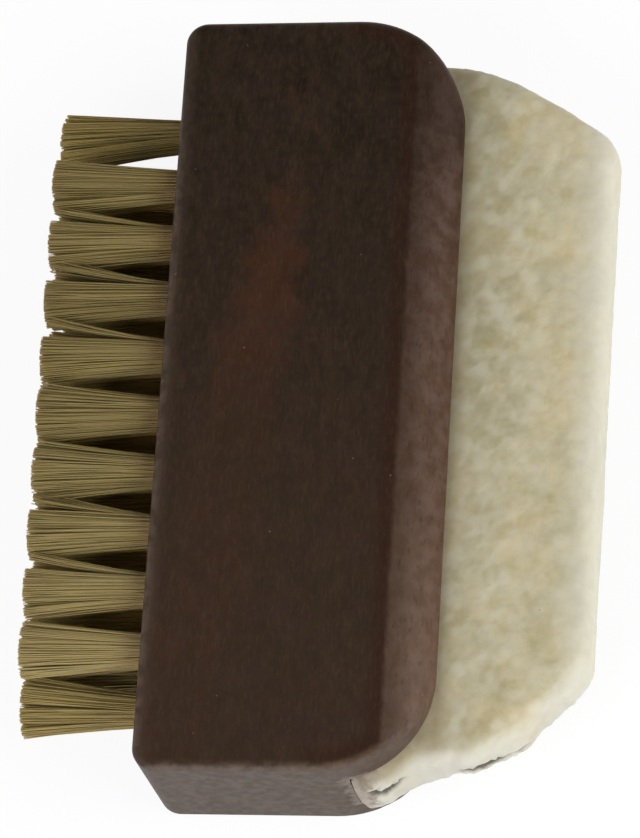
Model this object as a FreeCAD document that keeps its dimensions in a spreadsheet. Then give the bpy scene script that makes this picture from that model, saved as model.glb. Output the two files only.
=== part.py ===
"""Suede brush: a grooved hardwood block, drilled and tufted along one edge, with a crepe slab in the other.

The row frame has +Z up out of the broad front face, +Y along the block and +X toward the crepe.
Its origin is the centre of the block's footprint on the broad back face, which the brush lies on.
Inside each body x runs from the bristle wall and z from the middle of the block's thickness.
"""
import FreeCAD, Part
import math
import os

import Sketcher

MIDDLE_TUFTS = 11
OUTER_TUFTS = 9
LOCKS = 6

doc = FreeCAD.newDocument("suede_brush")
sheet = doc.addObject("Spreadsheet::Sheet", "sheet")

SIZES = (
    # the wooden block
    ("block_length", 100),
    ("block_width", 36),
    ("block_thick", 20),
    ("nose_radius", 13.5),
    ("heel_radius", 2.8),
    ("edge_round", 0.9),
    ("shoulder_width", 6),
    ("shoulder_bulge", 0.8),
    ("crease_round", 1.5),
    ("lip_land", 1),
    ("groove_depth", 10),
    # the crepe slab and the film that holds it
    ("crepe_thick", 9),
    ("crepe_reach", 19.2),
    ("crepe_end_inset", 0.6),
    ("crepe_taper", 15),
    ("crepe_end_bulge", 2),
    ("crepe_corner_radius", 3),
    ("crepe_edge_round", 2.2),
    ("glue_film", 0.2),
    ("glue_setback", 0.6),
    # the drilled holes and their pattern
    ("hole_diameter", 5),
    ("hole_depth", 9),
    ("tuft_end_margin", 11),
    ("tuft_row_spacing", 5.8),
    ("middle_row_shift", 0.6),
    ("outer_row_shift", 2.5),
    # one tuft and the strip of wire that it is folded over
    ("bristle_reach", 16.3),
    ("tuft_fit", 0.05),
    ("tuft_gap", 0.35),
    ("lock_depth", 0.7),
    ("lock_parting", 0.4),
    ("anchor_fit", 0.02),
    ("anchor_width", 2),
    ("anchor_gauge", 0.4),
    ("anchor_seat", 1.5),
)
for line, (alias, size) in enumerate(SIZES, start=1):
    sheet.set("A%d" % line, alias)
    sheet.set("B%d" % line, str(size))
    sheet.setAlias("B%d" % line, alias)
doc.recompute()

# values that follow from the sizes above
HALF_LENGTH = "sheet.block_length / 2"
HALF_THICK = "sheet.block_thick / 2"
GROOVE_WIDTH = "(sheet.crepe_thick + 2 * sheet.glue_film)"
LIP = "((sheet.block_thick - %s) / 2)" % GROOVE_WIDTH
SHOULDER_DROP = "(%s - sheet.lip_land)" % LIP
FACE_EDGE = "sheet.block_width - sheet.shoulder_width"
GROOVE_FLOOR = "sheet.block_width - sheet.groove_depth"
CREPE_ROOT = GROOVE_FLOOR + " + sheet.glue_film"
ANCHOR_TOP = "sheet.hole_depth - sheet.anchor_seat - sheet.anchor_width"
ANCHOR_SPAN = "(sqrt(sheet.hole_diameter ^ 2 - sheet.anchor_gauge ^ 2) - sheet.anchor_fit)"
PITCH = "((sheet.block_length - 2 * sheet.tuft_end_margin) / %d)" % (MIDDLE_TUFTS - 1)
TUFT_RADIUS = "(sheet.hole_diameter / 2 - sheet.tuft_fit)"
TIP_HALF_WIDTH = "((%s - sheet.tuft_gap) / 2)" % PITCH
TIP_HALF_HEIGHT = "((sheet.tuft_row_spacing - sheet.tuft_gap) / 2)"


def number(expression):
    """The value of an expression over the sheet."""
    found = sheet.evalExpression(expression)
    return float(getattr(found, "Value", found))


def arc_radius(chord_squared, bulge):
    """Radius of the arc that stands a bulge proud of its chord."""
    return "(%s) / (8 * (%s)) + (%s) / 2" % (chord_squared, bulge, bulge)


def attached(body, name, role, offset=None):
    """An empty sketch on one of the body's own origin planes."""
    sketch = body.newObject("Sketcher::SketchObject", name)
    plane = [part for part in body.Origin.OriginFeatures if part.Role == role][0]
    sketch.AttachmentSupport = [(plane, "")]
    sketch.MapMode = "FlatFace"
    if offset:
        sketch.setExpression("AttachmentOffset.Base.z", offset)
    return sketch


def pin(sketch, geometry, end, across, up):
    """Fix one point of the sketch at two expressions measured from its origin."""
    for kind, axis, expression in (("DistanceX", -2, across), ("DistanceY", -1, up)):
        place = number(expression)
        if abs(place) < 1e-6:
            sketch.addConstraint(Sketcher.Constraint("PointOnObject", geometry, end, axis))
        elif place > 0:
            index = sketch.addConstraint(Sketcher.Constraint(kind, -1, 1, geometry, end, place))
            sketch.setExpression("Constraints[%d]" % index, expression)
        else:
            index = sketch.addConstraint(Sketcher.Constraint(kind, geometry, end, -1, 1, -place))
            sketch.setExpression("Constraints[%d]" % index, "-(%s)" % expression)


def outline(sketch, corners, arcs=()):
    """A closed outline through pinned corners; arcs maps a side to its radius and its outer hand."""
    arcs = dict(arcs)
    points = [FreeCAD.Vector(number(across), number(up), 0) for across, up in corners]
    ends = []
    for side, start in enumerate(points):
        finish = points[(side + 1) % len(points)]
        if side not in arcs:
            ends.append((sketch.addGeometry(Part.LineSegment(start, finish)), 1, 2))
            continue
        radius, hand = arcs[side]
        size = number(radius)
        run = finish - start
        outward = FreeCAD.Vector(run.y, -run.x, 0).normalize() * hand
        rise = size - (size ** 2 - (run.Length / 2) ** 2) ** 0.5
        crown = (start + finish) / 2 + outward * rise
        if hand > 0:
            index = sketch.addGeometry(Part.Arc(start, crown, finish))
            ends.append((index, 1, 2))
        else:
            index = sketch.addGeometry(Part.Arc(finish, crown, start))
            ends.append((index, 2, 1))
    for side, (geometry, start, finish) in enumerate(ends):
        follower, follower_start, _ = ends[(side + 1) % len(ends)]
        sketch.addConstraint(
            Sketcher.Constraint("Coincident", geometry, finish, follower, follower_start)
        )
        pin(sketch, geometry, start, *corners[side])
        if side in arcs:
            index = sketch.addConstraint(
                Sketcher.Constraint("Radius", geometry, number(arcs[side][0]))
            )
            sketch.setExpression("Constraints[%d]" % index, arcs[side][0])
    return sketch


def ring(sketch, across, up, radius):
    """A circle about a pinned centre."""
    middle = FreeCAD.Vector(number(across), number(up), 0)
    circle = Part.Circle(middle, FreeCAD.Vector(0, 0, 1), number(radius))
    geometry = sketch.addGeometry(circle)
    pin(sketch, geometry, 3, across, up)
    index = sketch.addConstraint(Sketcher.Constraint("Radius", geometry, number(radius)))
    sketch.setExpression("Constraints[%d]" % index, radius)
    return sketch


def feature(body, kind, name, profile, length=None, reverse=False, side="One side"):
    """A pad or pocket of a sketch, to a length or through everything."""
    made = body.newObject("PartDesign::" + kind, name)
    made.Profile = profile
    made.SideType = side
    made.Reversed = reverse
    if length:
        made.setExpression("Length", length)
    else:
        made.Type = "ThroughAll"
    profile.Visibility = False
    return made


def rounded(body, name, base, radius, wanted):
    """A fillet on those edges of the base feature that pass the test."""
    doc.recompute()
    names = [
        "Edge%d" % place
        for place, edge in enumerate(base.Shape.Edges, start=1)
        if wanted(edge.BoundBox)
    ]
    made = body.newObject("PartDesign::Fillet", name)
    made.Base = (base, names)
    made.setExpression("Radius", radius)
    return made


def row_pattern(body, name, originals, profile, count):
    """Repeat features along the row at the tuft pitch."""
    made = body.newObject("PartDesign::LinearPattern", name)
    made.Originals = originals
    made.Direction = (profile, ["H_Axis"])
    made.Mode = "Spacing"
    made.setExpression("Offset", PITCH)
    made.Occurrences = count
    body.Tip = made
    return made


def strip(sketch, middle, height):
    """The cross-section of one flat wire strip about a hole's centre."""
    near = "%s - %s / 2" % (middle, ANCHOR_SPAN)
    far = "%s + %s / 2" % (middle, ANCHOR_SPAN)
    low = "%s - sheet.anchor_gauge / 2" % height
    high = "%s + sheet.anchor_gauge / 2" % height
    return outline(sketch, ((near, low), (far, low), (far, high), (near, high)))


def seated(body, up="0", along="0"):
    """Move a body from its own frame to its place in the row frame."""
    body.setExpression("Placement.Base.x", "-sheet.block_width / 2")
    body.setExpression("Placement.Base.y", along)
    body.setExpression("Placement.Base.z", "%s + %s" % (HALF_THICK, up))


# each row: its height from the middle of the block, its number of tufts and its first tuft
ROWS = []
for row, height, count, shift in (
    ("front", "sheet.tuft_row_spacing", OUTER_TUFTS, "sheet.outer_row_shift"),
    ("middle", "0", MIDDLE_TUFTS, "sheet.middle_row_shift"),
    ("back", "-sheet.tuft_row_spacing", OUTER_TUFTS, "sheet.outer_row_shift"),
):
    first = "(-%s - %g * %s)" % (shift, (count - 1) / 2, PITCH)
    ROWS.append((row, height, count, first))

# the block: a padded plank, rounded, shouldered on both faces, grooved and drilled
block = doc.addObject("PartDesign::Body", "handle_block")
plan = outline(
    attached(block, "block_plan", "XY_Plane"),
    (
        ("0", "-" + HALF_LENGTH),
        ("sheet.block_width", "-" + HALF_LENGTH),
        ("sheet.block_width", HALF_LENGTH),
        ("0", HALF_LENGTH),
    ),
)
plank = feature(block, "Pad", "plank", plan, "sheet.block_thick", side="Symmetric")
wide = number("sheet.block_width")
thick = number("sheet.block_thick")
nosed = rounded(
    block, "nose_corners", plank, "sheet.nose_radius",
    lambda box: box.ZLength > thick / 2 and box.XMin > wide / 2,
)
heeled = rounded(
    block, "heel_corners", nosed, "sheet.heel_radius",
    lambda box: box.ZLength > thick / 2 and box.XMax < 0.01,
)
shoulder_chord = "sheet.shoulder_width ^ 2 + %s ^ 2" % SHOULDER_DROP
shoulder_plan = outline(
    attached(block, "shoulder_profile", "XZ_Plane"),
    (
        (FACE_EDGE, HALF_THICK),
        ("sheet.block_width", "%s - %s" % (HALF_THICK, SHOULDER_DROP)),
        ("sheet.block_width + 1", "%s - %s" % (HALF_THICK, SHOULDER_DROP)),
        ("sheet.block_width + 1", HALF_THICK + " + 1"),
        (FACE_EDGE, HALF_THICK + " + 1"),
    ),
    {0: (arc_radius(shoulder_chord, "sheet.shoulder_bulge"), -1)},
)
front_shoulder = feature(block, "Pocket", "front_shoulder", shoulder_plan, side="Symmetric")
back_shoulder = block.newObject("PartDesign::Mirrored", "back_shoulder")
back_shoulder.Originals = [front_shoulder]
middle_plane = [part for part in block.Origin.OriginFeatures if part.Role == "XY_Plane"][0]
back_shoulder.MirrorPlane = (middle_plane, [""])
block.Tip = back_shoulder
creased = rounded(
    block, "shoulder_creases", back_shoulder, "sheet.crease_round",
    lambda box: box.XLength < 0.01 and box.XMin > wide / 2 and box.ZMax ** 2 > (thick / 2 - 0.01) ** 2,
)
rounded(
    block, "face_rims", creased, "sheet.edge_round",
    lambda box: box.XMin < wide / 2 and box.ZLength < 0.01,
)
groove_plan = outline(
    attached(block, "groove_profile", "XZ_Plane"),
    (
        (GROOVE_FLOOR, "-%s / 2" % GROOVE_WIDTH),
        ("sheet.block_width + 1", "-%s / 2" % GROOVE_WIDTH),
        ("sheet.block_width + 1", "%s / 2" % GROOVE_WIDTH),
        (GROOVE_FLOOR, "%s / 2" % GROOVE_WIDTH),
    ),
)
feature(block, "Pocket", "crepe_groove", groove_plan, side="Symmetric")
for row, height, count, first in ROWS:
    drill_plan = attached(block, "drill_" + row, "YZ_Plane")
    ring(drill_plan, first, height, "sheet.hole_diameter / 2")
    hole = feature(block, "Pocket", "hole_" + row, drill_plan, "sheet.hole_depth", reverse=True)
    doc.recompute()
    row_pattern(block, "holes_" + row, [hole], drill_plan, count)
seated(block)

# the crepe: a slab with bowed ends, softened all round except at its root
crepe = doc.addObject("PartDesign::Body", "crepe_slab")
crepe_out = "sheet.block_width + sheet.crepe_reach"
crepe_root_half = "(%s - sheet.crepe_end_inset)" % HALF_LENGTH
crepe_tip_half = "(%s - sheet.crepe_taper)" % HALF_LENGTH
end_chord = "(%s - (%s)) ^ 2 + (%s - %s) ^ 2" % (
    crepe_out, CREPE_ROOT, crepe_root_half, crepe_tip_half,
)
end_radius = arc_radius(end_chord, "sheet.crepe_end_bulge")
crepe_plan = outline(
    attached(crepe, "crepe_plan", "XY_Plane"),
    (
        (CREPE_ROOT, "-" + crepe_root_half),
        (crepe_out, "-" + crepe_tip_half),
        (crepe_out, crepe_tip_half),
        (CREPE_ROOT, crepe_root_half),
    ),
    {0: (end_radius, 1), 2: (end_radius, 1)},
)
slab = feature(crepe, "Pad", "slab", crepe_plan, "sheet.crepe_thick", side="Symmetric")
crepe_edge = number(crepe_out)
crepe_start = number(CREPE_ROOT)
cornered = rounded(
    crepe, "slab_corners", slab, "sheet.crepe_corner_radius",
    lambda box: box.ZLength > 1 and box.XMin > crepe_edge - 0.01,
)
rounded(
    crepe, "slab_edges", cornered, "sheet.crepe_edge_round",
    lambda box: box.ZLength < 0.01 and box.XMax > crepe_start + 0.01,
)
seated(crepe)

# the adhesive: a film on the groove's floor and both of its walls
glue = doc.addObject("PartDesign::Body", "crepe_glue")
glue_edge = "sheet.block_width - sheet.glue_setback"
glue_plan = outline(
    attached(glue, "glue_profile", "XZ_Plane"),
    (
        (GROOVE_FLOOR, "-%s / 2" % GROOVE_WIDTH),
        (glue_edge, "-%s / 2" % GROOVE_WIDTH),
        (glue_edge, "-sheet.crepe_thick / 2"),
        (CREPE_ROOT, "-sheet.crepe_thick / 2"),
        (CREPE_ROOT, "sheet.crepe_thick / 2"),
        (glue_edge, "sheet.crepe_thick / 2"),
        (glue_edge, "%s / 2" % GROOVE_WIDTH),
        (GROOVE_FLOOR, "%s / 2" % GROOVE_WIDTH),
    ),
)
glue_length = "sheet.block_length - 2 * sheet.nose_radius"
feature(glue, "Pad", "film", glue_plan, glue_length, side="Symmetric")
seated(glue)

# one tuft: a shank folded over its strip, fanned from the hole to the trimmed tip in locks;
# the tip is the mouth's outline grown and then parted along the row, so every side stays flat

def lock_corners():
    """Corners round the mouth, ridge and valley by turns, each with the hand of the row it fans to."""
    reach = number(TUFT_RADIUS)
    found = []
    for corner in range(2 * LOCKS):
        turn = math.radians(180 / LOCKS * corner)
        length = reach if corner % 2 else reach - number("sheet.lock_depth")
        across = length * math.cos(turn)
        up = length * math.sin(turn)
        if abs(across) > 1e-6:
            found.append((across, up, math.copysign(1, across)))
            continue
        for hand in (math.copysign(1, up), -math.copysign(1, up)):
            found.append((hand * number("sheet.lock_parting") / 2, up, hand))
    return found


def skin(rings):
    """A closed solid of flat sides through rings of the same number of corners."""
    loops = [rings[0], rings[-1]]
    for near, far in zip(rings, rings[1:]):
        for place in range(len(near)):
            after = (place + 1) % len(near)
            loops.append([near[place], near[after], far[after], far[place]])
    return Part.makeSolid(Part.makeShell([Part.Face(Part.makePolygon(loop + loop[:1])) for loop in loops]))


mouth = lock_corners()
growth = number(TIP_HALF_HEIGHT) / max(up for across, up, hand in mouth)
spread = number(TIP_HALF_WIDTH) - growth * max(across for across, up, hand in mouth)
bundle = doc.addObject("Part::Feature", "bundle_form")
bundle.Shape = skin(
    [
        [FreeCAD.Vector(number("sheet.hole_depth"), across, up) for across, up, hand in mouth],
        [FreeCAD.Vector(0, across, up) for across, up, hand in mouth],
        [
            FreeCAD.Vector(-number("sheet.bristle_reach"), growth * across + spread * hand, growth * up)
            for across, up, hand in mouth
        ],
    ]
)
wire_space = doc.addObject("Part::Box", "wire_space")
wire_space.setExpression("Length", "sheet.anchor_width")
wire_space.setExpression("Width", ANCHOR_SPAN)
wire_space.setExpression("Height", "sheet.anchor_gauge")
wire_space.setExpression("Placement.Base.x", ANCHOR_TOP)
wire_space.setExpression("Placement.Base.y", "-%s / 2" % ANCHOR_SPAN)
wire_space.setExpression("Placement.Base.z", "-sheet.anchor_gauge / 2")
tuft = doc.addObject("Part::Cut", "tuft_pattern")
tuft.Base = bundle
tuft.Tool = wire_space
doc.recompute()

pieces = [block, crepe, glue]
for row, height, count, first in ROWS:
    anchors = doc.addObject("PartDesign::Body", "anchors_" + row)
    anchor_plan = strip(attached(anchors, "wire_" + row, "YZ_Plane", ANCHOR_TOP), first, height)
    wire = feature(anchors, "Pad", "strip_" + row, anchor_plan, "sheet.anchor_width")
    doc.recompute()
    row_pattern(anchors, "strips_" + row, [wire], anchor_plan, count)
    seated(anchors)
    pieces.append(anchors)
    for place in range(count):
        member = doc.addObject("PartDesign::Body", "tuft_%s_%02d" % (row, place + 1))
        clone = doc.addObject("PartDesign::FeatureBase", "bundle_%s_%02d" % (row, place + 1))
        clone.BaseFeature = tuft
        member.Group = [clone]
        member.Tip = clone
        seated(member, height, "%s + %d * %s" % (first, place, PITCH))
        pieces.append(member)
doc.recompute()

for item in doc.Objects:
    if {"Invalid", "Error"} & set(item.State):
        raise RuntimeError("%s did not build: %s" % (item.Label, item.State))
os.makedirs("parts", exist_ok=True)
for piece in pieces:
    if piece.Shape.isNull() or not piece.Shape.isValid():
        raise RuntimeError("%s has no sound shape" % piece.Label)
    piece.Shape.exportStep("parts/%s.step" % piece.Label)
print("wrote %d pieces" % len(pieces))
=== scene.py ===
# %% [markdown]
# # A suede brush, dressed for its picture
#
# The brush has three kinds of material: a dark stained block, tufts of natural bristle in
# one long edge, and a slab of crepe rubber in the other. The solid model already holds every
# piece at its true size, so this lesson only adds what a solid model leaves out: the single
# bristles, the pebbled skin of the crepe, and the finish of the wood.
#
# The first cell loads the solid model. Every piece made later is in metres in the same frame:
# +X points to the crepe, +Y along the block, and +Z up out of the front face.

# %% Load the frame
import math
import random

import bmesh
import bpy
from mathutils import Matrix, Vector, noise


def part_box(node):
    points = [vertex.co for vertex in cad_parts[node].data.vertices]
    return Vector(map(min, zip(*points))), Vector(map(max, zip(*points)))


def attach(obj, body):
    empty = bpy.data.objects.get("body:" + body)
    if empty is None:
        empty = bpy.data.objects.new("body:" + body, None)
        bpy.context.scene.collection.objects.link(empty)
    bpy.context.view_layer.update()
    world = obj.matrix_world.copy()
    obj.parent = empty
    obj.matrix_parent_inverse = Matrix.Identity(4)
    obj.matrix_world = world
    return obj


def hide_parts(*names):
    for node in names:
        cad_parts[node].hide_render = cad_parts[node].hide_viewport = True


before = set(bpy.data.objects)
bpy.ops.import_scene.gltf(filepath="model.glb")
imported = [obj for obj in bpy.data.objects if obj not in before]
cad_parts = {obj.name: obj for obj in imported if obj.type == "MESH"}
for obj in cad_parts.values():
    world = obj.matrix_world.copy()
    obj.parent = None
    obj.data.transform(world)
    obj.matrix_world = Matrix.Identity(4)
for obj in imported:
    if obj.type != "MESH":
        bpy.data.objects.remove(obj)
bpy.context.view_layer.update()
MM = 0.001
block_low, block_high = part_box("handle_block")
print("nodes:", len(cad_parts), "block size in mm:", (block_high - block_low) / MM)

# %% [markdown]
# ## Camera
#
# The photograph looks down on the front face from the lower right, with a long lens, so the
# bottom end shows and the sides hardly converge. A camera can be aimed with a Track To
# constraint, but its own three axes say the same in one matrix and nothing is left to solve.

# %% Place the camera
CAMERA_PLACE = Vector((95.417, -206.640, 530.945)) * MM
camera = bpy.data.objects.new("camera", bpy.data.cameras.new("camera"))
bpy.context.scene.collection.objects.link(camera)
camera_right = Vector((0.98602576, 0.05965321, -0.15554643))
camera_up = Vector((0.00163257, 0.93018691, 0.36708261))
camera_back = camera_right.cross(camera_up)
camera.matrix_world = (
    Matrix.Translation(CAMERA_PLACE)
    @ Matrix((camera_right, camera_up, camera_back)).transposed().to_4x4()
)
camera.data.lens = 194.1
camera.data.sensor_width = 36
bpy.context.scene.camera = camera
print("camera looks along", -camera_back)

# %% [markdown]
# ## Node helpers
#
# A node tree in code is mostly the same three lines over and over: add a node, set its options,
# fill or wire its inputs. One helper, *put*, does the three, and the others name what is asked for
# most, so that a material reads from top to bottom. Colours are written as the 0 to 255 values that
# an eye-dropper shows, and turned to linear light.

# %% Helpers for node trees
def put(tree, kind, inputs=None, **options):
    """Adds a node, sets its options, and fills its inputs with values or wires."""
    made = tree.nodes.new(kind)
    for name, value in options.items():
        setattr(made, name, value)
    for socket, value in (inputs or {}).items():
        if isinstance(value, bpy.types.NodeSocket):
            tree.links.new(value, made.inputs[socket])
        else:
            made.inputs[socket].default_value = value
    return made


def tint(red, green, blue):
    """An eye-dropper colour as linear RGBA."""
    linear = []
    for level in (red, green, blue):
        share = level / 255
        linear.append(share / 12.92 if share <= 0.04045 else ((share + 0.055) / 1.055) ** 2.4)
    return (*linear, 1.0)


def mixed(tree, factor, first, second, blend="MIX"):
    """The colour between first and second, as an output."""
    made = put(tree, "ShaderNodeMix", {0: factor, 6: first, 7: second}, data_type="RGBA", blend_type=blend)
    return made.outputs[2]


def maths(tree, operation, *values, clamp=False):
    """One Math node's output."""
    made = put(tree, "ShaderNodeMath", dict(enumerate(values)), operation=operation, use_clamp=clamp)
    return made.outputs[0]


def times(tree, first, *others):
    """The product of masks and values."""
    for other in others:
        first = maths(tree, "MULTIPLY", first, other)
    return first


def vector_maths(tree, operation, *values):
    """One Vector Math node, with all its outputs."""
    return put(tree, "ShaderNodeVectorMath", dict(enumerate(values)), operation=operation).outputs


def distance(tree, *legs):
    """How far apart two points are, from the legs along the axes."""
    joined = put(tree, "ShaderNodeCombineXYZ", dict(enumerate(legs)))
    return vector_maths(tree, "LENGTH", joined.outputs[0])["Value"]


def ramped(tree, value, low, high, to_low=0.0, to_high=1.0):
    """value taken from the range low to high, smoothly, to the range to_low to to_high."""
    made = put(
        tree, "ShaderNodeMapRange",
        {"Value": value, "From Min": low, "From Max": high, "To Min": to_low, "To Max": to_high},
        interpolation_type="SMOOTHSTEP",
    )
    return made.outputs[0]


print("a mid brown in linear light:", [round(c, 4) for c in tint(60, 44, 36)[:3]])

# %% [markdown]
# ## Shared effects
#
# Patches and specks come back in more than one finish, and rubbed edges would on any other boxy
# piece. So each is a node group, built once and placed in each material with its own values. Every
# group reads a position in millimetres.
#
# - *mottle* gives two sizes of soft patches: uneven stain in the wood, pale and warm crepe,
#   and bristles that differ from one place to the next.
# - *worn_edges* finds the places near two faces of a box at once, where hands rub, and on the
#   wood it also carries painted highlight along the edges.
# - *specks* is fine dust on the wood and fine dirt on the crepe.

# %% Mottle
def new_group(name, inputs, outputs):
    """An empty shader group with float or vector inputs and float outputs."""
    group = bpy.data.node_groups.new(name, "ShaderNodeTree")
    for label, kind, default in inputs:
        socket = group.interface.new_socket(label, in_out="INPUT", socket_type=kind)
        socket.default_value = default
    for label in outputs:
        group.interface.new_socket(label, in_out="OUTPUT", socket_type="NodeSocketFloat")
    return group, group.nodes.new("NodeGroupInput").outputs, group.nodes.new("NodeGroupOutput").inputs


VECTOR, FLOAT = "NodeSocketVector", "NodeSocketFloat"

mottle, given, result = new_group(
    "mottle",
    [("Position", VECTOR, (0, 0, 0)), ("Patch", FLOAT, 12.0), ("Blotch", FLOAT, 3.0)],
    ["Patches", "Blotches"],
)
for length, label in (("Patch", "Patches"), ("Blotch", "Blotches")):
    per_mm = maths(mottle, "DIVIDE", 1.0, given[length])
    cloud = put(
        mottle, "ShaderNodeTexNoise",
        {"Vector": given["Position"], "Scale": per_mm, "Detail": 3.0, "Roughness": 0.55},
    )
    mottle.links.new(ramped(mottle, cloud.outputs["Fac"], 0.34, 0.66), result[label])

print("mottle nodes:", len(mottle.nodes))

# %% Worn edges
worn_edges, given, result = new_group(
    "worn_edges",
    [
        ("Position", VECTOR, (0, 0, 0)), ("Centre", VECTOR, (0, 0, 0)), ("Half", VECTOR, (1, 1, 1)),
        ("Width", FLOAT, 1.0), ("Breakup", FLOAT, 2.0),
    ],
    ["Wear"],
)
offset = vector_maths(worn_edges, "SUBTRACT", given["Position"], given["Centre"])[0]
reach = vector_maths(worn_edges, "ABSOLUTE", offset)[0]
depth = vector_maths(worn_edges, "SUBTRACT", given["Half"], reach)[0]
near = []
for side in put(worn_edges, "ShaderNodeSeparateXYZ", {0: depth}).outputs:
    widths_in = maths(worn_edges, "DIVIDE", side, given["Width"])
    near.append(maths(worn_edges, "SUBTRACT", 1.0, widths_in, clamp=True))
pairs = [maths(worn_edges, "MINIMUM", near[a], near[b]) for a, b in ((0, 1), (1, 2), (0, 2))]
along_edges = maths(worn_edges, "MAXIMUM", maths(worn_edges, "MAXIMUM", pairs[0], pairs[1]), pairs[2])
per_mm = maths(worn_edges, "DIVIDE", 1.0, given["Breakup"])
breakup = put(
    worn_edges, "ShaderNodeTexNoise",
    {"Vector": given["Position"], "Scale": per_mm, "Detail": 4.0},
)
patchy = ramped(worn_edges, breakup.outputs["Fac"], 0.38, 0.62)
worn_edges.links.new(times(worn_edges, along_edges, patchy), result["Wear"])
print("worn_edges nodes:", len(worn_edges.nodes))

# %% Specks
specks, given, result = new_group(
    "specks",
    [("Position", VECTOR, (0, 0, 0)), ("Spacing", FLOAT, 1.5), ("Size", FLOAT, 0.2)],
    ["Specks"],
)
per_mm = maths(specks, "DIVIDE", 1.0, given["Spacing"])
cells = put(specks, "ShaderNodeTexVoronoi", {"Vector": given["Position"], "Scale": per_mm})
chance = put(specks, "ShaderNodeSeparateColor", {0: cells.outputs["Color"]}).outputs[0]
dot = maths(specks, "LESS_THAN", cells.outputs["Distance"], times(specks, given["Size"], chance))
chosen = maths(specks, "GREATER_THAN", chance, 0.55)
specks.links.new(times(specks, dot, chosen), result["Specks"])
print("specks nodes:", len(specks.nodes))

# %% Helpers for materials
def use(tree, group, inputs):
    """Places a shared group in a material and returns its outputs."""
    return put(tree, "ShaderNodeGroup", inputs, node_tree=group).outputs


def new_material(name):
    """A node material with its Principled shader and its position in millimetres."""
    material = bpy.data.materials.new(name)
    material.use_nodes = True
    tree = material.node_tree
    shader = tree.nodes["Principled BSDF"]
    place = put(tree, "ShaderNodeTexCoord").outputs["Object"]
    in_mm = put(tree, "ShaderNodeVectorMath", {0: place, "Scale": 1000.0}, operation="SCALE")
    return material, tree, shader, in_mm.outputs[0]


def stretched(tree, position, across, along, detail=3.0, roughness=0.5):
    """Noise in cells across by along by across millimetres, drawn out along the block."""
    mapping = put(
        tree, "ShaderNodeMapping",
        {"Vector": position, "Scale": (1 / across, 1 / along, 1 / across)},
    )
    made = put(
        tree, "ShaderNodeTexNoise",
        {"Vector": mapping.outputs[0], "Scale": 1.0, "Detail": detail, "Roughness": roughness},
    )
    return made.outputs["Fac"]


print("groups:", [group.name for group in bpy.data.node_groups])

# %% [markdown]
# ## Stained wood
#
# The block is a close-grained hardwood under a dark brown stain and a thin satin lacquer. The
# stain hides most of the grain, so what shows is soft and cloudy: patches a few millimetres wide,
# short flecks along the grain, and redder heartwood. The heart of the tree is a straight line that
# climbs slowly towards the front face, so the heartwood comes out there in the shape of a flame.
#
# The milled shoulder is paler than the broad faces, partly because it took less stain and partly as
# painted light, since it faces the lamp. There is a clear step at its foot, where the stain gathered
# in a dark red line. Face and shoulder are painted darker towards the upper end and lighter towards
# the lower end, as shade for light that is stronger low down. The end grain is paler and greyer,
# partly dust and partly a painted reflection of the pale floor. The edges and the bristle side are
# paler, partly rubbed and partly painted highlight, and a smear of rubber has dried on the wood
# round the lower mouth of the groove. A picture of wood wrapped round the block would not join up
# at the edges. A solid pattern does, because the wood itself is solid.

# %% Wood patterns
wood, tree, shader, position = new_material("stained_wood")
along = put(tree, "ShaderNodeSeparateXYZ", {0: position}).outputs
# millimetres, but the skew and the climb of the heart line are slopes
HEART_X, HEART_Y = -7.1, -22.0
HEART_SKEW, HEART_CLIMB = 0.14, 0.1
HEART_RADIUS = 5.8
NOSE_RADIUS = 13.5
RIM = 1.3
SHOULDER_X = 12.0
front_z = block_high.z / MM
heart_depth = maths(tree, "MULTIPLY_ADD", along[1], HEART_CLIMB, -front_z - HEART_CLIMB * HEART_Y)
heart_side = maths(tree, "MULTIPLY_ADD", along[1], -HEART_SKEW, along[0])
heart_distance = distance(
    tree, maths(tree, "SUBTRACT", heart_side, HEART_X), maths(tree, "ADD", along[2], heart_depth),
)
wander = maths(tree, "SUBTRACT", stretched(tree, position, 2.6, 4.0, 4.0, 0.65), 0.5)
heart_distance = maths(tree, "MULTIPLY_ADD", wander, 7.0, heart_distance)
streaks = stretched(tree, position, 1.3, 3.6, 4.0, 0.6)
fibres = stretched(tree, position, 0.3, 1.2, 3.0)
flecks = ramped(tree, stretched(tree, position, 0.5, 1.5, 1.0), 0.40, 0.28)
stain = use(tree, mottle, {"Position": position, "Patch": 11.0, "Blotch": 2.2})
cast = use(tree, mottle, {"Position": position, "Patch": 4.6, "Blotch": 1.1})
# painted shade: 0 at the upper end and 1 at the lower end, where the light is stronger
lower_end = ramped(tree, along[1], 44.0, -36.0)
wobble = times(tree, maths(tree, "SUBTRACT", stretched(tree, position, 4.0, 2.4), 0.5), 0.9)
end_y = maths(tree, "SUBTRACT", maths(tree, "ABSOLUTE", along[1]), block_high.y / MM - NOSE_RADIUS)
nose_x = maths(tree, "SUBTRACT", along[0], block_high.x / MM - NOSE_RADIUS)
nose_reach = distance(tree, maths(tree, "MAXIMUM", nose_x, 0.0), maths(tree, "MAXIMUM", end_y, 0.0))
past_crease = maths(tree, "SUBTRACT", maths(tree, "ADD", along[0], wobble), SHOULDER_X)
past_rim = maths(tree, "SUBTRACT", maths(tree, "MULTIPLY_ADD", wobble, 0.5, nose_reach), NOSE_RADIUS - RIM)
from_crease = maths(tree, "MAXIMUM", past_crease, past_rim)
print("heartwood within", HEART_RADIUS, "mm of a line that climbs", HEART_CLIMB, "in 1")
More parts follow.
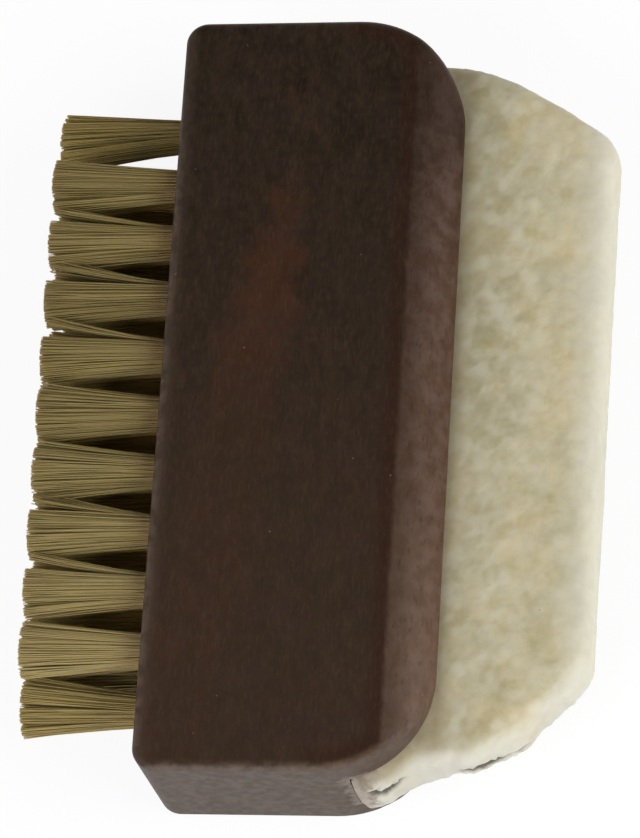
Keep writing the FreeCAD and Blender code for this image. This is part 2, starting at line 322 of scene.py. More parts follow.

# %% Wood colour
# painted shade on the face: darker towards the upper end, lighter towards the lower end
ground = mixed(tree, lower_end, tint(26, 17, 7), tint(51, 36, 26))
ground = mixed(tree, times(tree, stain["Patches"], 0.3), ground, tint(42, 34, 23))
ground = mixed(tree, times(tree, stain["Blotches"], 0.22), ground, tint(28, 19, 12))
ground = mixed(tree, ramped(tree, streaks, 0.4, 0.75, 0.0, 0.22), ground, tint(68, 45, 32))
flame = times(
    tree,
    ramped(tree, heart_distance, HEART_RADIUS + 0.6, HEART_RADIUS - 2.6),
    ramped(tree, along[1], -10.0, 18.0, 0.12, 0.52),
)
ground = mixed(tree, flame, ground, tint(74, 38, 20))
ground = mixed(tree, times(tree, cast["Patches"], 0.3), ground, tint(47, 33, 29))
ground = mixed(tree, times(tree, cast["Blotches"], 0.2), ground, tint(54, 46, 30))
# the shoulder is paler, partly from less stain and partly as painted light, since it faces the lamp
milled = maths(
    tree, "ADD",
    ramped(tree, from_crease, 0.0, 0.8, 0.0, 0.45), ramped(tree, from_crease, 0.8, 4.4, 0.0, 0.55),
)
# painted shade and light: the shoulder is darker towards the upper end and lighter towards the lower end
bare_and_lit = mixed(tree, ramped(tree, along[1], 46.0, -2.0), tint(52, 33, 20), tint(80, 57, 42))
bare_and_lit = mixed(tree, ramped(tree, along[1], -2.0, -40.0), bare_and_lit, tint(98, 76, 60))
bare_and_lit = mixed(tree, ramped(tree, streaks, 0.35, 0.7, 0.32, 0.0), bare_and_lit, tint(54, 32, 22))
bare_and_lit = mixed(tree, times(tree, cast["Patches"], 0.22), bare_and_lit, tint(62, 40, 29))
bare_and_lit = mixed(tree, times(tree, stain["Blotches"], 0.26), bare_and_lit, tint(114, 95, 86))
# painted shade on the upper end of the shoulder
bare_and_lit = mixed(tree, ramped(tree, along[1], 24.0, 40.0, 0.0, 0.6), bare_and_lit, tint(40, 25, 15))
milled = times(tree, milled, ramped(tree, along[0], -1.0, 8.0))
ground = mixed(tree, milled, ground, bare_and_lit)
foot = times(tree, ramped(tree, from_crease, -2.4, -0.4), ramped(tree, from_crease, 0.8, -0.2))
foot = times(tree, foot, ramped(tree, along[0], 0.0, 7.0))
ground = mixed(tree, times(tree, foot, 0.55), ground, tint(44, 21, 10))
print("ground, heartwood, shoulder and crease mixed")

# %% Wood wear, with painted highlight and reflection
RUB_WIDTH = 1.3
end_grain = times(
    tree,
    ramped(tree, nose_reach, NOSE_RADIUS - 0.6, NOSE_RADIUS - 0.1), ramped(tree, end_y, 2.0, 8.0),
)
# paler, greyer end grain and nose wall: partly dust, partly a painted reflection of the pale floor
dust_and_reflection = mixed(tree, cast["Blotches"], tint(81, 71, 64), tint(95, 85, 78))
dust_and_reflection_share = times(tree, end_grain, ramped(tree, along[0], 13.0, 5.0, 0.4, 0.85))
ground = mixed(tree, dust_and_reflection_share, ground, dust_and_reflection)
block_middle = (block_low + block_high) / 2
block_half = (block_high - block_low) / 2
wear = use(
    tree, worn_edges,
    {
        "Position": position, "Centre": block_middle / MM, "Half": block_half / MM,
        "Width": RUB_WIDTH, "Breakup": 1.8,
    },
)["Wear"]
# paler edges, partly wear and partly painted highlight, less towards the upper end
rubbed = times(tree, wear, ramped(tree, along[1], 40.0, 24.0, 0.15, 0.5))
ground = mixed(tree, rubbed, ground, tint(110, 92, 80))
# paler towards the bristle side: partly rubbed, partly painted highlight along the left edge
ground = mixed(tree, ramped(tree, along[0], -15.5, -17.6, 0.0, 0.16), ground, tint(104, 88, 78))
print("edges rubbed", RUB_WIDTH, "mm wide on a block of", block_half * 2 / MM)

# %% Rubber round the groove's mouth
groove_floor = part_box("crepe_glue")[0].x / MM
slab_low, slab_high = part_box("crepe_slab")
slab_middle_z = (slab_low.z + slab_high.z) / 2 / MM
slab_half_z = (slab_high.z - slab_low.z) / 2 / MM
past_floor = maths(tree, "SUBTRACT", groove_floor, along[0])
off_middle = maths(tree, "ABSOLUTE", maths(tree, "SUBTRACT", along[2], slab_middle_z))
past_wall = maths(tree, "SUBTRACT", off_middle, slab_half_z)
from_mouth = distance(
    tree, maths(tree, "MAXIMUM", past_floor, 0.0), maths(tree, "MAXIMUM", past_wall, 0.0),
)
uneven = maths(tree, "SUBTRACT", stretched(tree, position, 1.1, 1.1, 4.0, 0.6), 0.5)
smear_reach = maths(tree, "MULTIPLY_ADD", uneven, -4.0, from_mouth)
smear = times(tree, ramped(tree, smear_reach, 1.5, -0.3), ramped(tree, from_mouth, 2.6, 1.0))
smear = times(tree, smear, ramped(tree, along[1], -48.0, -49.2))
ground = mixed(tree, times(tree, smear, 0.6), ground, tint(156, 144, 134))
print("groove floor at x", groove_floor, "mm, crepe", slab_half_z * 2, "mm thick")

# %% Flecks and dust
flecks = times(tree, flecks, ramped(tree, end_grain, 0.0, 1.0, 1.0, 0.25))
ground = mixed(tree, ramped(tree, fibres, 0.45, 0.75, 0.0, 0.07), ground, tint(110, 86, 68))
ground = mixed(tree, times(tree, flecks, 0.22), ground, tint(24, 15, 10))
dust = use(tree, specks, {"Position": position, "Spacing": 2.4, "Size": 0.06})["Specks"]
ground = mixed(tree, times(tree, dust, 0.3), ground, tint(128, 118, 112))
tree.links.new(ground, shader.inputs["Base Color"])
print("wood colours mixed:", sum(node.type == "MIX" for node in tree.nodes))

# %% Wood gloss and relief
gloss = ramped(tree, streaks, 0.3, 0.7, 0.40, 0.5)
gloss = maths(tree, "ADD", gloss, times(tree, maths(tree, "MAXIMUM", flecks, end_grain), 0.14))
tree.links.new(gloss, shader.inputs["Roughness"])
shader.inputs["Specular IOR Level"].default_value = 0.14
relief = maths(tree, "SUBTRACT", times(tree, fibres, 0.6), flecks)
bump = put(tree, "ShaderNodeBump", {"Height": relief, "Strength": 0.35, "Distance": 0.00006})
tree.links.new(bump.outputs[0], shader.inputs["Normal"])
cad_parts["handle_block"].material_slots[0].material = wood
print("wood nodes:", len(tree.nodes))

# %% [markdown]
# ## Bristle finish
#
# Natural bristle is a horn-like fibre: dull gold, a little glossy, no two quite alike, and thin
# enough to let some light through, which a little subsurface scattering gives. The tufts below carry
# two values on each point, *tone* for the strand and *run* for how far along it the point is, and
# the finish reads both. Near the wood the strands are darker, partly stain and dirt and partly painted
# shade between the tufts. The lower tufts are paler. The strands between the rows, in the shade of the
# front row, are a warmer and lighter yellow: painted light, for the warm glow in the shaded gaps.

# %% Bristle material
bristle, tree, shader, position = new_material("bristle")
tone = put(tree, "ShaderNodeAttribute", attribute_name="tone").outputs["Fac"]
run = put(tree, "ShaderNodeAttribute", attribute_name="run").outputs["Fac"]
hair = mixed(tree, tone, tint(112, 97, 49), tint(145, 128, 75))
drift = use(tree, mottle, {"Position": position, "Patch": 9.0, "Blotch": 2.0})
hair = mixed(tree, times(tree, drift["Patches"], 0.22), hair, tint(124, 104, 60))
hair = mixed(tree, ramped(tree, run, 0.93, 1.0, 0.0, 0.3), hair, tint(150, 120, 78))
# darker near the wood: partly stain and dirt, partly painted shade between the tufts
hair = mixed(tree, ramped(tree, run, 0.3, 0.0, 0.0, 0.5), hair, tint(112, 74, 26))
along = put(tree, "ShaderNodeSeparateXYZ", {0: position}).outputs
hair = mixed(tree, ramped(tree, along[1], 2.0, -44.0, 0.0, 0.5), hair, tint(172, 152, 100))
# painted shade colour: the rows behind the front row are a warmer yellow, as strands in shade look
hair = mixed(tree, ramped(tree, along[2], 14.5, 12.0, 0.0, 0.3), hair, tint(148, 124, 52))
# behind the front row, short of the back face, and away from both ends of the rows
inner = times(tree, ramped(tree, along[2], 3.2, 5.0), ramped(tree, along[2], 13.4, 12.8))
inner = times(tree, inner, ramped(tree, along[1], -34.0, -28.0), ramped(tree, along[1], 34.0, 29.0))
# painted light: a lighter, warmer yellow on the strands seen through the shaded gaps
deep = times(tree, inner, ramped(tree, run, 0.8, 0.3, 0.0, 0.75))
hair = mixed(tree, deep, hair, tint(188, 151, 72))
tree.links.new(hair, shader.inputs["Base Color"])
tree.links.new(ramped(tree, tone, 0.0, 1.0, 0.46, 0.62), shader.inputs["Roughness"])
shader.inputs["Subsurface Weight"].default_value = 0.4
shader.inputs["Subsurface Radius"].default_value = (0.0003, 0.00022, 0.00012)
shader.inputs["Subsurface Scale"].default_value = 1.0
print("bristle nodes:", len(tree.nodes))

# %% [markdown]
# ## One bristle
#
# A bristle is about a fifth of a millimetre thick and tapers to its tip. A particle system could
# grow them, but particles are not meshes that another program can open. So one strand is extruded
# ring by ring from a small square, and copies of it make a sheaf of straight strands. Four sides
# and five lengths are enough, because there are thousands of them. Every copy keeps its number,
# so that each can be laid on its own path later.

# %% Make a sheaf of straight strands
STRANDS = 540
STRAND_RADIUS = 0.106 * MM
RUNS = (0.0, 0.3, 0.6, 0.85, 1.0)
TAPER = (1.0, 1.0, 0.94, 0.86, 0.66)

bm = bmesh.new()
number_layer = bm.verts.layers.int.new("strand")
bmesh.ops.create_circle(bm, cap_ends=False, segments=4, radius=1)
bmesh.ops.translate(bm, verts=bm.verts[:], vec=(0, 0, -1))
ring = bm.edges[:]
at, wide = -1.0, 1.0
for run_end, taper in zip(RUNS, TAPER):
    grown = bmesh.ops.extrude_edge_only(bm, edges=ring)["geom"]
    ring = [item for item in grown if isinstance(item, bmesh.types.BMEdge)]
    corners = [item for item in grown if isinstance(item, bmesh.types.BMVert)]
    bmesh.ops.translate(bm, verts=corners, vec=(0, 0, run_end - at))
    bmesh.ops.scale(bm, verts=corners, vec=(taper / wide, taper / wide, 1))
    at, wide = run_end, taper
bmesh.ops.holes_fill(bm, edges=bm.edges[:], sides=4)
bmesh.ops.recalc_face_normals(bm, faces=bm.faces[:])
for face in bm.faces:
    face.smooth = True
for edge in ring:
    edge.smooth = False
strand = bm.verts[:] + bm.edges[:] + bm.faces[:]
print("one strand:", len(bm.verts), "points,", len(bm.faces), "faces")
for number in range(1, STRANDS):
    copy = bmesh.ops.duplicate(bm, geom=strand)["geom"]
    for item in copy:
        if isinstance(item, bmesh.types.BMVert):
            item[number_layer] = number
sheaf = bpy.data.meshes.new("sheaf")
bm.to_mesh(sheaf)
bm.free()
print("sheaf:", STRANDS, "strands,", len(sheaf.polygons), "faces")

# %% [markdown]
# ## Twenty-nine tufts
#
# Each hole holds one bundle, folded over a wire and pulled tight, so the strands leave the hole
# packed as close as they will go and fan out from there. A sunflower spiral packs a disc evenly.
# Towards the tips the strands draw together in locks, and on the upper side of some tufts a thin
# lock swings away to the next tuft, over a dark parting. The tips were trimmed along one line,
# which is a little out of true: the upper tufts are longer than the lower ones.

# %% Aim the strands
GOLDEN_TURN = math.pi * (3 - math.sqrt(5))
LOCKS = 9
# the pull is a share of the way to the lock, and the rest are shares of the disc's radius or of the tone
LOCK_PULL = (0.05, 0.25)
LOCK_STRAY, LOCK_DRIFT, LOCK_TONE = 0.08, 0.05, 0.1
STRAND_STRAY, TIP_STRAY = 0.02, 0.035
SIDE_LOCK, SIDE_PARTING = 0.7, 0.4
# shares of the swing
SWING_SHARE, PARTING_SHARE = (0.8, 1.1), 0.15


def in_disc(index, count):
    """Place number index of count, spread evenly over a disc of radius 1."""
    far = math.sqrt((index + 0.5) / count)
    return Vector((far * math.cos(index * GOLDEN_TURN), far * math.sin(index * GOLDEN_TURN)))


def scatter(rng, size):
    """A small random step in the disc."""
    return Vector((rng.gauss(0, size), rng.gauss(0, size)))


def strand_paths(rng, swing, spread):
    """Each strand's place in the mouth and aim at the tip, on discs of radius 1, and its lock's tone."""
    turn = Matrix.Rotation(rng.uniform(0, math.tau), 2)
    locks = []
    for index in range(LOCKS):
        lock = turn @ in_disc(index, LOCKS) + scatter(rng, LOCK_STRAY)
        locks.append((lock, rng.uniform(*LOCK_PULL), rng.gauss(0, LOCK_TONE), scatter(rng, LOCK_DRIFT)))
    paths = []
    for index in range(STRANDS):
        spot = turn @ in_disc(index, STRANDS) + scatter(rng, STRAND_STRAY)
        lock, pull, lock_tone, drift = min(locks, key=lambda one: (one[0] - spot).length)
        aim = spot.lerp(lock, pull) * spread + drift + scatter(rng, TIP_STRAY)
        if spot.x > SIDE_LOCK:
            aim.x += swing * rng.uniform(*SWING_SHARE)
        elif spot.x > SIDE_PARTING:
            aim.x -= PARTING_SHARE * swing
        paths.append((spot, aim, lock_tone))
    return paths


print("first places in the disc:", [[round(c, 2) for c in in_disc(index, STRANDS)] for index in range(3)])

# %% Lay one tuft
MOUTH_RADIUS = 2.05 * MM
BOW = 0.08 * MM
FAN_CURVE = 1.25
TRIM_SLOPE = 0.0145
# shares of a strand's length, of its thickness and of the tone
TRIM_ROUND, TRIM_STRAY = 0.012, 0.006
THICKNESS = (0.82, 1.12)
TONE_STRAY = 0.12


def make_tuft(node, seed, swing, spread, crown, lean, paleness):
    """Builds the bundle that stands for one tuft node."""
    rng = random.Random(seed)
    low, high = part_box(node)
    mouth_x = block_low.x
    centre = Vector(((low.y + high.y) / 2, (low.z + high.z) / 2))
    tip_half = Vector(((high.y - low.y) / 2, (high.z - low.z) / 2))
    reach = mouth_x - low.x + crown + TRIM_SLOPE * centre.x
    lines = []
    for spot, aim, lock_tone in strand_paths(rng, swing, spread):
        root = centre + spot * MOUTH_RADIUS
        tip = centre + Vector((aim.x * tip_half.x + lean, aim.y * tip_half.y))
        bow = scatter(rng, BOW)
        rounded_off = TRIM_ROUND * min(aim.length, 1.3) ** 6
        length = reach * (1 - rounded_off - abs(rng.gauss(0, TRIM_STRAY)))
        thick = Matrix.Rotation(rng.uniform(0, math.tau), 2) * (STRAND_RADIUS * rng.uniform(*THICKNESS))
        tone_value = min(1.0, max(0.0, paleness + lock_tone + rng.gauss(0, TONE_STRAY)))
        lines.append((root, tip, bow, length, thick, tone_value))
    bm = bmesh.new()
    bm.from_mesh(sheaf)
    number_layer = bm.verts.layers.int["strand"]
    tone_layer = bm.verts.layers.float.new("tone")
    run_layer = bm.verts.layers.float.new("run")
    for vert in bm.verts:
        root, tip, bow, length, thick, tone_value = lines[vert[number_layer]]
        run_at = max(vert.co.z, 0.0)
        across = root.lerp(tip, run_at ** FAN_CURVE) + bow * math.sin(math.pi * run_at)
        across += thick @ vert.co.xy
        x = high.x if vert.co.z < 0 else mouth_x - length * run_at
        vert.co = (x, across.x, across.y)
        vert[tone_layer] = tone_value
        vert[run_layer] = run_at
    bmesh.ops.recalc_face_normals(bm, faces=bm.faces[:])
    mesh = bpy.data.meshes.new("bristles_" + node)
    bm.to_mesh(mesh)
    bm.free()
    mesh.materials.append(bristle)
    piece = bpy.data.objects.new("bristles_" + node, mesh)
    bpy.context.scene.collection.objects.link(piece)
    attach(piece, "root")
    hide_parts(node)
    return piece


tuft_names = sorted(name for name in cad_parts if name.startswith("tuft_"))
print("holes to fill:", len(tuft_names))

# %% Fill every hole
SPREAD = {"front": 0.97, "middle": 1.03, "back": 1.06}
CROWN = {"front": -0.2 * MM, "middle": 0.5 * MM, "back": -0.2 * MM}
PALENESS = {"front": 0.48, "middle": 0.82, "back": 0.75}
MIDDLE_SWING = 0.1
FRONT_SWINGS = (0.06, 0.36, 0.34, 0.1, 0.14, 0.5, 0.46, 0.44, 0.08)
LEAN = {"tuft_middle_11": -1.1 * MM, "tuft_middle_01": 0.5 * MM}
tufts = []
for seed, name in enumerate(tuft_names):
    row, number = name.split("_")[1:]
    swing = MIDDLE_SWING if row == "middle" else FRONT_SWINGS[(int(number) - 1) % len(FRONT_SWINGS)]
    tufts.append(make_tuft(name, seed, swing, SPREAD[row], CROWN[row], LEAN.get(name, 0.0), PALENESS[row]))
bpy.data.meshes.remove(sheaf)
print("tufts:", len(tufts), "faces in all:", sum(len(t.data.polygons) for t in tufts))

# %% [markdown]
# ## Crepe slab
#
# Crepe is raw rubber, rolled into a sheet while it is still soft curd. It sets with a skin of
# pebbles and creases, soft rounded edges, and ends that were torn rather than cut. A bump map
# alone would leave the outline straight, so the skin is real relief: the slab is drawn in plan with
# its two torn ends, extruded and bevelled, remeshed into even small squares, and then its points
# are pushed in and out by noise. The part that sits in the groove keeps its plain shape.

# %% Draw the slab
ROOT_SPARE = 0.15 * MM
ROOT_X, TIP_X = slab_low.x - ROOT_SPARE, slab_high.x
UPPER_END = (
    (ROOT_X / MM, 49.2), (11, 48.2), (14.5, 46.6), (18, 46.3), (20.5, 45.7),
    (23, 44.7), (26, 43.1), (30, 40.9), (33.8, 38.2), (36.2, 36.5),
)
LOWER_END = (
    (ROOT_X / MM, -50.2), (10, -50.9), (12.8, -50.4), (14.4, -48.9), (16.3, -47.4), (19.8, -46.7),
    (23.4, -46.6), (25.2, -45.1), (28.8, -43.1), (30.6, -40.6), (34.2, -37.3),
)
UPPER_TIP, LOWER_TIP = (TIP_X / MM + 0.2, 34.4), (TIP_X / MM - 0.7, -33.8)
EDGE_ROUND = 2.2 * MM
TINY = 0.01 * MM

bm = bmesh.new()
outline = [*LOWER_END, LOWER_TIP, UPPER_TIP, *reversed(UPPER_END)]
bm.faces.new([bm.verts.new((x * MM, y * MM, slab_low.z)) for x, y in outline])
plate = bmesh.ops.extrude_face_region(bm, geom=bm.faces[:])["geom"]
lifted = [item for item in plate if isinstance(item, bmesh.types.BMVert)]
bmesh.ops.translate(bm, verts=lifted, vec=(0, 0, slab_high.z - slab_low.z))
bmesh.ops.recalc_face_normals(bm, faces=bm.faces[:])


def upright(edge):
    """True for an edge that runs through the slab's thickness."""
    return abs(edge.verts[0].co.z - edge.verts[1].co.z) > TINY


rims = [
    edge for edge in bm.edges
    if not upright(edge) and edge.calc_face_angle(0) > 1.0
    and max(v.co.x for v in edge.verts) > ROOT_X + TINY
]
bmesh.ops.bevel(
    bm, geom=rims, offset=EDGE_ROUND, offset_type="OFFSET", affect="EDGES",
    segments=4, profile=0.5, material=-1,
)
print("slab drawn with", len(outline), "corners, and", len(bm.faces), "faces after the bevel")

# %% Remesh the slab
VOXEL = 0.42 * MM
plain_mesh = bpy.data.meshes.new("crepe_plain")
bm.to_mesh(plain_mesh)
bm.free()
slab = bpy.data.objects.new("crepe", plain_mesh)
bpy.context.scene.collection.objects.link(slab)
remesh = slab.modifiers.new("even_squares", "REMESH")
remesh.mode = "VOXEL"
remesh.voxel_size = VOXEL
skin = bpy.data.meshes.new_from_object(slab.evaluated_get(bpy.context.evaluated_depsgraph_get()))
slab.modifiers.clear()
slab.data = skin
skin.name = "crepe"
bpy.data.meshes.remove(plain_mesh)
print("crepe squares:", len(skin.polygons))

# %% [markdown]
# The relief has four sizes: slow swells, pebbles two to three millimetres across and parted by
# shallow creases, fine grit, and the wavy torn line of the two ends, with a few slits and a pit where
# rubber came away. A slit is a flattened ball in space, and points that noise has jostled are
# measured against it, so its rim is ragged. Noise vectors start from the clock unless they are given
# a seed, so without one no two runs would tear alike.
#
# The squares are smoothed first, so that the rounded edges have no hard start. Inside the groove
# and under the lips the skin keeps its plain shape. Three attributes keep the creases, the gouges and
# the torn ends for the finish.

# %% Gouges, and the skin that is free
TEAR_SEED = 5
# swings to the millimetre, and how far they move a point
SLOW_JOSTLE, QUICK_JOSTLE = (0.4, 0.9), (1.1, 0.7)
# each gouge has a centre, a form, a width and a depth
SLIT, PIT = Vector((0.55, 0.8, 1.3)), Vector((0.7, 0.8, 1.0))
GOUGES = (
    (Vector((24.0, -46.5, 8.3)), SLIT, 1.5, 2.0),
    (Vector((26.2, -45.2, 8.35)), SLIT, 1.1, 1.4),
    (Vector((28.2, -43.8, 8.3)), SLIT, 1.0, 1.2),
    (Vector((11.9, -50.4, 12.4)), PIT, 1.15, 1.7),
    (Vector((13.0, -50.0, 11.6)), SLIT, 0.9, 1.3),
    (Vector((10.4, -50.9, 8.6)), SLIT, 0.6, 0.8),
)
lip_x = block_high.x / MM
nose_y = block_high.y / MM - NOSE_RADIUS


def eased(value, low, high):
    """0 at low, 1 at high, and a smooth rise between."""
    rise = min(max((value - low) / (high - low), 0.0), 1.0)
    return rise * rise * (3 - 2 * rise)


def clear_of_block(p):
    """0 inside the groove and 1 outside the block, rising over the first two millimetres."""
    across_nose = min(max(p.x - (lip_x - NOSE_RADIUS), 0.0), NOSE_RADIUS)
    past_nose = abs(p.y) - nose_y - math.sqrt(NOSE_RADIUS ** 2 - across_nose ** 2)
    return eased(max(p.x - lip_x - 0.1, past_nose), 0.2, 2.2)


def jostled(p, per_mm, amount):
    """A point moved a little, by noise with per_mm swings to the millimetre."""
    return p + noise.noise_vector(p * per_mm) * amount


noise.seed_set(TEAR_SEED)
gouges = [(jostled(jostled(centre, *SLOW_JOSTLE), *QUICK_JOSTLE), *rest) for centre, *rest in GOUGES]
print("gouges:", len(gouges))

# %% Push the skin in and out
SMOOTHINGS = 10
# sizes across and heights in millimetres, and the creases' width as a share of a pebble
PEBBLE, SWELL, GRIT, WAVE = 2.7, 6.0, 1.4, 5.0
PARTING_WIDTH = 0.45
PARTING_DEPTH, SWELL_HEIGHT, GRIT_HEIGHT = 0.07, 0.16, 0.05
UPPER_TEAR, LOWER_TEAR = 0.1, 0.7
bm = bmesh.new()
bm.from_mesh(skin)
outside = [vert for vert in bm.verts if clear_of_block(vert.co / MM) > 0]
for _ in range(SMOOTHINGS):
    bmesh.ops.smooth_vert(bm, verts=outside, factor=0.5, use_axis_x=True, use_axis_y=True, use_axis_z=True)
bm.normal_update()
crease_layer = bm.verts.layers.float.new("crease")
gouge_layer = bm.verts.layers.float.new("gouge")
end_layer = bm.verts.layers.float.new("torn_end")
moves = []
for vert in bm.verts:
    p = vert.co / MM
    free = clear_of_block(p)
    nudged = jostled(p, *SLOW_JOSTLE)
    ragged = jostled(nudged, *QUICK_JOSTLE)
    near, _ = noise.voronoi(nudged / PEBBLE)
    parting = max(0.0, 1 - (near[1] - near[0]) / PARTING_WIDTH) ** 2
    swell = noise.noise(p / SWELL)
    grit = noise.fractal(p / GRIT, 1.0, 2.1, 3)
    facing_end = eased(abs(vert.normal.y), 0.15, 0.8)
    torn = noise.fractal(Vector((p.x, p.y * 0.4, p.z * 0.35)) / WAVE + Vector((3.1, 0, 7.7)), 0.9, 2.2, 4)
    push = -PARTING_DEPTH * parting + SWELL_HEIGHT * swell + GRIT_HEIGHT * grit
    push += facing_end * (LOWER_TEAR if p.y < 0 else UPPER_TEAR) * torn
    gouge = max(
        math.exp(-(((ragged - centre) * stretch).length / width) ** 2) * depth
        for centre, stretch, width, depth in gouges
    )
    moves.append((vert, vert.normal * (push - gouge) * free * MM))
    vert[crease_layer] = parting * free
    vert[gouge_layer] = min(1.0, gouge) * free
    vert[end_layer] = eased(abs(vert.normal.y), 0.0, 1.0) * free
for vert, move in moves:
    vert.co += move
for face in bm.faces:
    face.smooth = True
bm.to_mesh(skin)
bm.free()
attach(slab, "root")
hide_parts("crepe_slab")
print("crepe box in mm:", [[round(c / MM, 2) for c in slab.bound_box[k]] for k in (0, 6)])

# %% [markdown]
# ## Crepe finish
#
# Raw crepe is cream, cloudy inside and a little see-through, so light spreads under the skin. The
# clouds of straw, warm cream and grey are soft and a few millimetres across. Milky curds, drawn out
# aslant when the sheet was rolled, are plainest near the wood, and the creases have painted shade.
#
# The slab is painted darker along the wood and towards the upper end, as shade from the block, with
# painted shade and some grime along the lip, and its free edge is painted paler, as light from the
# lamp on the right. The torn lower end is pale, its gouges are painted dark as shade in the hollows,
# and wood dust and stain stick to its root.

# %% Crepe clouds and curds
ROLLED_CURD = (2.1, 3.2, 2.4)
ROLLED_TURN = math.radians(-40)
crepe, tree, shader, position = new_material("crepe_rubber")
along = put(tree, "ShaderNodeSeparateXYZ", {0: position}).outputs
clouds = use(tree, mottle, {"Position": position, "Patch": 10.0, "Blotch": 3.4})
curds = use(tree, mottle, {"Position": position, "Patch": 6.0, "Blotch": 1.5})
crease_depth = put(tree, "ShaderNodeAttribute", attribute_name="crease").outputs["Fac"]
gouge_depth = put(tree, "ShaderNodeAttribute", attribute_name="gouge").outputs["Fac"]
torn_end = put(tree, "ShaderNodeAttribute", attribute_name="torn_end").outputs["Fac"]
rolled = put(
    tree, "ShaderNodeMapping",
    {"Vector": position, "Rotation": (0, 0, ROLLED_TURN), "Scale": ROLLED_CURD},
    vector_type="TEXTURE",
)
milk = put(
    tree, "ShaderNodeTexNoise",
    {"Vector": rolled.outputs[0], "Scale": 1.0, "Detail": 1.4, "Roughness": 0.5},
)
cream = mixed(tree, clouds["Blotches"], tint(163, 154, 116), tint(185, 176, 144))
warm = times(tree, clouds["Patches"], ramped(tree, along[0], 20.0, 26.0, 0.34, 0.56))
cream = mixed(tree, warm, cream, tint(196, 177, 131))
cream = mixed(tree, times(tree, curds["Patches"], 0.3), cream, tint(186, 181, 164))
cream = mixed(tree, times(tree, curds["Blotches"], 0.14), cream, tint(212, 205, 182))
milky = times(
    tree,
    ramped(tree, milk.outputs["Fac"], 0.42, 0.68), ramped(tree, along[0], 30.0, 23.0, 0.22, 0.62),
)
milky = times(tree, milky, ramped(tree, along[1], -28.0, 2.0, 0.85, 1.0))
cream = mixed(tree, milky, cream, tint(203, 199, 179))
# painted shade: the creases are a little darker
cream = mixed(tree, times(tree, crease_depth, 0.22), cream, tint(150, 139, 106))
print("crepe clouds mixed:", sum(node.type == "MIX" for node in tree.nodes))

# %% Crepe wear, with painted shade and light
# painted shade: darker near the wood and towards the upper end
PAINTED_SHADE_TINT = (0.63, 0.62, 0.57, 1)
block_and_upper_shade = times(
    tree,
    ramped(tree, along[0], 29.0, 18.2), ramped(tree, along[1], -30.0, 10.0, 0.34, 0.84),
)
cream = mixed(tree, block_and_upper_shade, cream, PAINTED_SHADE_TINT, "MULTIPLY")
# painted shade along the wood's lip, with some grime
lip_shade_and_grime = ramped(tree, along[0], 20.5, 18.0)
cream = mixed(tree, times(tree, lip_shade_and_grime, 0.4), cream, tint(122, 106, 78))
# painted light: paler towards the free edge, which faces the lamp on the right
lit_free_edge = ramped(tree, along[0], 31.0, 36.5)
cream = mixed(tree, times(tree, lit_free_edge, 0.6), cream, tint(203, 202, 190))
pale = times(tree, torn_end, ramped(tree, along[1], 0.0, -30.0, 0.2, 0.85))
cream = mixed(tree, pale, cream, tint(197, 195, 184))
root_x = maths(tree, "MULTIPLY_ADD", curds["Blotches"], 1.6, along[0])
residue = times(tree, ramped(tree, root_x, 12.6, 10.6), ramped(tree, along[1], -44.0, -48.0))
stuck = mixed(tree, clouds["Blotches"], tint(112, 98, 88), tint(158, 146, 135))
cream = mixed(tree, times(tree, residue, 0.9), cream, stuck)
grime = use(tree, specks, {"Position": position, "Spacing": 3.4, "Size": 0.06})["Specks"]
cream = mixed(tree, times(tree, grime, 0.25), cream, tint(120, 106, 80))
# painted shade: the gouges are dark, as shade in the hollows
cream = mixed(tree, ramped(tree, gouge_depth, 0.2, 0.8, 0.0, 0.88), cream, tint(58, 51, 43))
tree.links.new(cream, shader.inputs["Base Color"])
print("crepe colours mixed:", sum(node.type == "MIX" for node in tree.nodes))

# %% Crepe gloss and grain
tree.links.new(ramped(tree, clouds["Blotches"], 0.0, 1.0, 0.78, 0.66), shader.inputs["Roughness"])
shader.inputs["Subsurface Weight"].default_value = 0.25
shader.inputs["Subsurface Radius"].default_value = (0.0022, 0.0018, 0.0011)
shader.inputs["Subsurface Scale"].default_value = 1.0
grain = put(tree, "ShaderNodeTexNoise", {"Vector": position, "Scale": 2.0, "Detail": 4.0})
bump = put(tree, "ShaderNodeBump", {"Height": grain.outputs["Fac"], "Strength": 0.4, "Distance": 0.0001})
tree.links.new(bump.outputs[0], shader.inputs["Normal"])
skin.materials.clear()
skin.materials.append(crepe)
print("crepe nodes:", len(tree.nodes))

# %% [markdown]
# ## Hidden pieces
#
# The wire strips deep in the holes and the film of adhesive round the crepe root are out of
# sight, but a part that is opened up shows them, so they get a plain honest finish too.

# %% Wire and adhesive
wire, tree, shader, position = new_material("anchor_wire")
brushed = stretched(tree, position, 0.08, 3.0)
steel = mixed(tree, brushed, tint(150, 148, 144), tint(186, 184, 180))
tree.links.new(steel, shader.inputs["Base Color"])
tree.links.new(ramped(tree, brushed, 0.3, 0.7, 0.28, 0.46), shader.inputs["Roughness"])
shader.inputs["Metallic"].default_value = 1.0

film, tree, shader, position = new_material("adhesive")
cloudy = use(tree, mottle, {"Position": position, "Patch": 6.0, "Blotch": 1.5})
amber = mixed(tree, cloudy["Blotches"], tint(168, 134, 82), tint(190, 160, 108))
tree.links.new(amber, shader.inputs["Base Color"])
tree.links.new(ramped(tree, cloudy["Patches"], 0.0, 1.0, 0.3, 0.5), shader.inputs["Roughness"])

hidden = {"anchors_front": wire, "anchors_middle": wire, "anchors_back": wire, "crepe_glue": film}
for name, finish in hidden.items():
    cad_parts[name].material_slots[0].material = finish
print("hidden pieces finished:", list(hidden))

# %% [markdown]
# ## Floor and light
#
# The photograph was taken on white under soft light from the right. The brush lies on its back on
# a pale floor. One large soft lamp stands to the right of the crepe, one weaker lamp fills from
# the lower left, and the sky is white at the horizon and dim overhead, so that the front face stays
# dark and the end face takes the floor's glow. What the camera sees of the floor is nine tenths
# plain white, and the last tenth keeps a faint shadow.

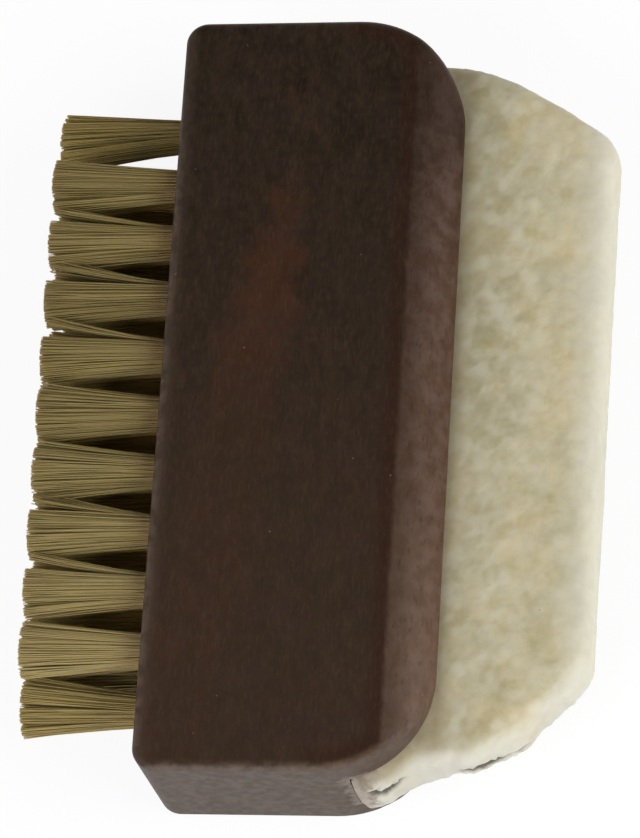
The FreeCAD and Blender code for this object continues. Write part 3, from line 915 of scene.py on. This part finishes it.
# %% Floor
bm = bmesh.new()
bmesh.ops.create_grid(bm, x_segments=1, y_segments=1, size=3.0)
floor_mesh = bpy.data.meshes.new("floor")
bm.to_mesh(floor_mesh)
bm.free()
floor = bpy.data.objects.new("floor", floor_mesh)
bpy.context.scene.collection.objects.link(floor)
paper = bpy.data.materials.new("white_paper")
paper.use_nodes = True
tree = paper.node_tree
shader = tree.nodes["Principled BSDF"]
shader.inputs["Base Color"].default_value = (0.95, 0.95, 0.95, 1)
shader.inputs["Roughness"].default_value = 0.9
shader.inputs["Specular IOR Level"].default_value = 0.0
WHITE_SHARE = 0.9
white = put(tree, "ShaderNodeEmission", {"Color": (1, 1, 1, 1), "Strength": 1.0})
rays = put(tree, "ShaderNodeLightPath").outputs
seen = rays["Is Camera Ray"]
for kind in ("Is Glossy Ray", "Is Transmission Ray"):
    seen = maths(tree, "MAXIMUM", seen, rays[kind])
whitened = times(tree, seen, WHITE_SHARE)
blend = put(tree, "ShaderNodeMixShader", {0: whitened, 1: shader.outputs[0], 2: white.outputs[0]})
tree.links.new(blend.outputs[0], tree.nodes["Material Output"].inputs["Surface"])
floor_mesh.materials.append(paper)
print("floor at z = 0")

# %% Lamps and sky
def softbox(name, place, aim, size, watts):
    """A square lamp at place, facing aim."""
    lamp = bpy.data.lights.new(name, "AREA")
    lamp.size = size
    lamp.energy = watts
    made = bpy.data.objects.new(name, lamp)
    made.location = place
    made.rotation_euler = (Vector(aim) - Vector(place)).to_track_quat("-Z", "Y").to_euler()
    bpy.context.scene.collection.objects.link(made)
    return made


softbox("key", place=(0.60, -0.14, 0.45), aim=block_middle, size=0.48, watts=4.1)
softbox("fill", place=(-0.28, -0.36, 0.40), aim=block_middle, size=0.35, watts=1.8)

world = bpy.data.worlds.new("studio")
bpy.context.scene.world = world
world.use_nodes = True
tree = world.node_tree
ray = put(tree, "ShaderNodeTexCoord").outputs["Generated"]
height = put(tree, "ShaderNodeSeparateXYZ", {0: ray}).outputs[2]
sky = mixed(tree, ramped(tree, height, 0.1, 0.8), (1, 1, 1, 1), (0.22, 0.22, 0.22, 1))
tree.links.new(sky, tree.nodes["Background"].inputs["Color"])
tree.nodes["Background"].inputs["Strength"].default_value = 1.0
bpy.context.scene.view_settings.view_transform = "Standard"
